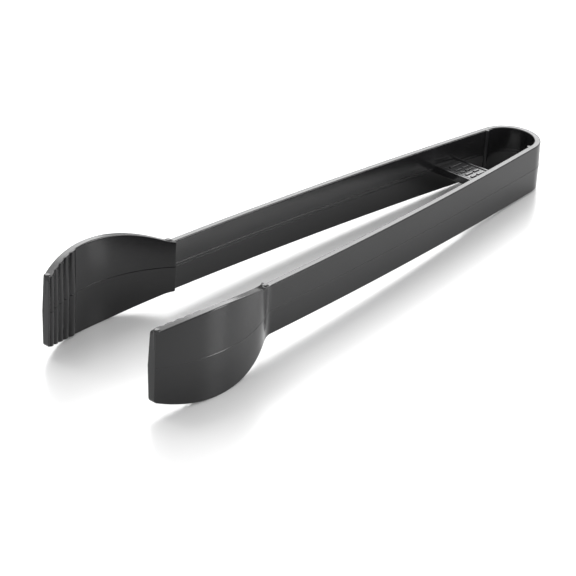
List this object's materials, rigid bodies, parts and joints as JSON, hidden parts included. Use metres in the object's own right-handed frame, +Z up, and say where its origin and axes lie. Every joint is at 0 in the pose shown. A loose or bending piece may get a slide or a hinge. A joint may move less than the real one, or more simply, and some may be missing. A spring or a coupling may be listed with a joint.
{
  "type": "spring loaded kitchen tongs",
  "caption": "One-piece moulded plastic serving tongs: springy U-shaped strip arms joined by a bow and a web, ending in curved claws with ribbed grip faces.",
  "frame": {"origin": "under the middle of the overall length, on the middle plane between the two arms, level with the lowest points of the claws", "axes": "+X along the tongs from the bow towards the claws; +Y towards the right arm; +Z up, along the height of the strip, with the tongs lying on their side and the mould's parting plane horizontal"},
  "size_m": [0.229, 0.0666, 0.0334],
  "materials": {
    "moulded_plastic": "semi-gloss injection-moulded black, fine parting line, light scuffs"
  },
  "bodies": {
    "head": {"spring_bow": "moulded_plastic", "web_plate": "moulded_plastic", "web_marks": "moulded_plastic"},
    "right_side": {"right_arm": "moulded_plastic", "right_claw": "moulded_plastic", "right_grip_ribs": "moulded_plastic"},
    "left_side": {"left_arm": "moulded_plastic", "left_claw": "moulded_plastic", "left_grip_ribs": "moulded_plastic"}
  },
  "joints": [
    {"name": "right_arm_flex", "type": "hinge", "parent": "head", "child": "right_side", "pos_m": [-0.04592, 0.01701, 0.0167], "axis": [0, 0, -1], "range_deg": [-2, 8.25], "stiffness_Nm_per_rad": 0.8},
    {"name": "left_arm_flex", "type": "hinge", "parent": "head", "child": "left_side", "pos_m": [-0.04592, -0.01701, 0.0167], "axis": [0, 0, 1], "range_deg": [-2, 8.25], "stiffness_Nm_per_rad": 0.8}
  ]
}
